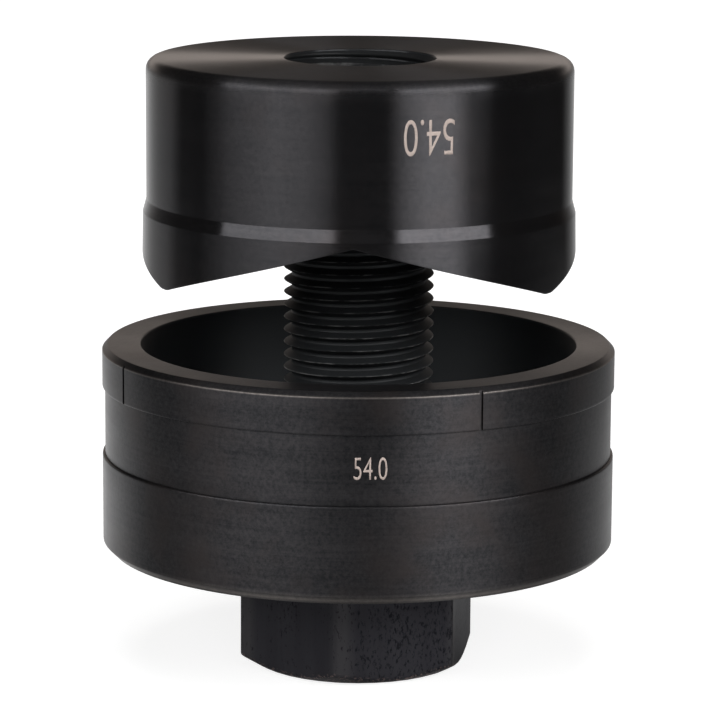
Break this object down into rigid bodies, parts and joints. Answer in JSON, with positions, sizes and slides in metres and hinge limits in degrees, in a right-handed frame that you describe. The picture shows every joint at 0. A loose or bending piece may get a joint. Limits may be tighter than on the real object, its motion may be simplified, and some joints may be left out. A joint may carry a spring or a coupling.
{
  "type": "sheet metal hole punch",
  "caption": "Screw-drawn round hole punch for sheet metal: toothed punch, cup-shaped die, hexagon-head draw bolt and thrust ball bearing.",
  "frame": {"origin": "centre of the hexagon head's bottom face, on the surface that the tool stands on", "axes": "+Z along the bolt, from the hexagon head up to the punch; -Y towards the viewer of the picture"},
  "size_m": [0.0642, 0.0642, 0.0766],
  "materials": {
    "punch_steel": "black oxide, ground smooth, oiled",
    "die_steel": "black oxide, turned, satin",
    "bolt_steel": "black oxide, forged head, rolled thread",
    "race_steel": "hardened and ground",
    "cage_steel": "pressed sheet",
    "ball_steel": "polished"
  },
  "bodies": {
    "draw_bolt": {"draw_bolt": "bolt_steel", "thrust_race_lower": "race_steel"},
    "thrust_race_upper": {"thrust_race_upper": "race_steel"},
    "die": {"die": "die_steel"},
    "punch": {"punch": "punch_steel"},
    "ball_cage": {"ball_cage": "cage_steel"},
    "ball_01": {"ball_01": "ball_steel"},
    "ball_02": {"ball_02": "ball_steel"},
    "ball_03": {"ball_03": "ball_steel"},
    "ball_04": {"ball_04": "ball_steel"},
    "ball_05": {"ball_05": "ball_steel"},
    "ball_06": {"ball_06": "ball_steel"},
    "ball_07": {"ball_07": "ball_steel"},
    "ball_08": {"ball_08": "ball_steel"},
    "ball_09": {"ball_09": "ball_steel"},
    "ball_10": {"ball_10": "ball_steel"},
    "ball_11": {"ball_11": "ball_steel"},
    "ball_12": {"ball_12": "ball_steel"},
    "ball_13": {"ball_13": "ball_steel"},
    "ball_14": {"ball_14": "ball_steel"}
  },
  "joints": [
    {"name": "bolt_turn", "type": "hinge", "parent": "draw_bolt", "child": "thrust_race_upper", "pos_m": [0, 0, 0.022], "axis": [0, 0, -1], "range_deg": [-1800, 3960]},
    {"name": "punch_travel", "type": "slide", "parent": "thrust_race_upper", "child": "punch", "axis": [0, 0, -1], "range_m": [-0.00794, 0.01747]},
    {"name": "die_lift", "type": "slide", "parent": "thrust_race_upper", "child": "die", "axis": [0, 0, 1], "range_m": [0, 0.0035]},
    {"name": "cage_turn", "type": "hinge", "parent": "draw_bolt", "child": "ball_cage", "pos_m": [0, 0, 0.017], "axis": [0, 0, -1], "range_deg": [-900, 1980]},
    {"name": "ball_01_roll", "type": "hinge", "parent": "ball_cage", "child": "ball_01", "pos_m": [0.01375, 0, 0.017], "axis": [1, 0, 0], "range_deg": [-5020, 11030]},
    {"name": "ball_02_roll", "type": "hinge", "parent": "ball_cage", "child": "ball_02", "pos_m": [0.01239, 0.00597, 0.017], "axis": [0.901, 0.4339, 0], "range_deg": [-5020, 11030]},
    {"name": "ball_03_roll", "type": "hinge", "parent": "ball_cage", "child": "ball_03", "pos_m": [0.00857, 0.01075, 0.017], "axis": [0.6235, 0.7818, 0], "range_deg": [-5020, 11030]},
    {"name": "ball_04_roll", "type": "hinge", "parent": "ball_cage", "child": "ball_04", "pos_m": [0.00306, 0.01341, 0.017], "axis": [0.2225, 0.9749, 0], "range_deg": [-5020, 11030]},
    {"name": "ball_05_roll", "type": "hinge", "parent": "ball_cage", "child": "ball_05", "pos_m": [-0.00306, 0.01341, 0.017], "axis": [-0.2225, 0.9749, 0], "range_deg": [-5020, 11030]},
    {"name": "ball_06_roll", "type": "hinge", "parent": "ball_cage", "child": "ball_06", "pos_m": [-0.00857, 0.01075, 0.017], "axis": [-0.6235, 0.7818, 0], "range_deg": [-5020, 11030]},
    {"name": "ball_07_roll", "type": "hinge", "parent": "ball_cage", "child": "ball_07", "pos_m": [-0.01239, 0.00597, 0.017], "axis": [-0.901, 0.4339, 0], "range_deg": [-5020, 11030]},
    {"name": "ball_08_roll", "type": "hinge", "parent": "ball_cage", "child": "ball_08", "pos_m": [-0.01375, 0, 0.017], "axis": [-1, 0, 0], "range_deg": [-5020, 11030]},
    {"name": "ball_09_roll", "type": "hinge", "parent": "ball_cage", "child": "ball_09", "pos_m": [-0.01239, -0.00597, 0.017], "axis": [-0.901, -0.4339, 0], "range_deg": [-5020, 11030]},
    {"name": "ball_10_roll", "type": "hinge", "parent": "ball_cage", "child": "ball_10", "pos_m": [-0.00857, -0.01075, 0.017], "axis": [-0.6235, -0.7818, 0], "range_deg": [-5020, 11030]},
    {"name": "ball_11_roll", "type": "hinge", "parent": "ball_cage", "child": "ball_11", "pos_m": [-0.00306, -0.01341, 0.017], "axis": [-0.2225, -0.9749, 0], "range_deg": [-5020, 11030]},
    {"name": "ball_12_roll", "type": "hinge", "parent": "ball_cage", "child": "ball_12", "pos_m": [0.00306, -0.01341, 0.017], "axis": [0.2225, -0.9749, 0], "range_deg": [-5020, 11030]},
    {"name": "ball_13_roll", "type": "hinge", "parent": "ball_cage", "child": "ball_13", "pos_m": [0.00857, -0.01075, 0.017], "axis": [0.6235, -0.7818, 0], "range_deg": [-5020, 11030]},
    {"name": "ball_14_roll", "type": "hinge", "parent": "ball_cage", "child": "ball_14", "pos_m": [0.01239, -0.00597, 0.017], "axis": [0.901, -0.4339, 0], "range_deg": [-5020, 11030]}
  ],
  "couplings": [
    {"joint": "punch_travel", "follows": "bolt_turn", "m_per_rad": 0.00025266},
    {"joint": "cage_turn", "follows": "bolt_turn", "ratio": 0.5},
    {"joint": "ball_01_roll", "follows": "bolt_turn", "ratio": 2.7834},
    {"joint": "ball_02_roll", "follows": "bolt_turn", "ratio": 2.7834},
    {"joint": "ball_03_roll", "follows": "bolt_turn", "ratio": 2.7834},
    {"joint": "ball_04_roll", "follows": "bolt_turn", "ratio": 2.7834},
    {"joint": "ball_05_roll", "follows": "bolt_turn", "ratio": 2.7834},
    {"joint": "ball_06_roll", "follows": "bolt_turn", "ratio": 2.7834},
    {"joint": "ball_07_roll", "follows": "bolt_turn", "ratio": 2.7834},
    {"joint": "ball_08_roll", "follows": "bolt_turn", "ratio": 2.7834},
    {"joint": "ball_09_roll", "follows": "bolt_turn", "ratio": 2.7834},
    {"joint": "ball_10_roll", "follows": "bolt_turn", "ratio": 2.7834},
    {"joint": "ball_11_roll", "follows": "bolt_turn", "ratio": 2.7834},
    {"joint": "ball_12_roll", "follows": "bolt_turn", "ratio": 2.7834},
    {"joint": "ball_13_roll", "follows": "bolt_turn", "ratio": 2.7834},
    {"joint": "ball_14_roll", "follows": "bolt_turn", "ratio": 2.7834}
  ]
}
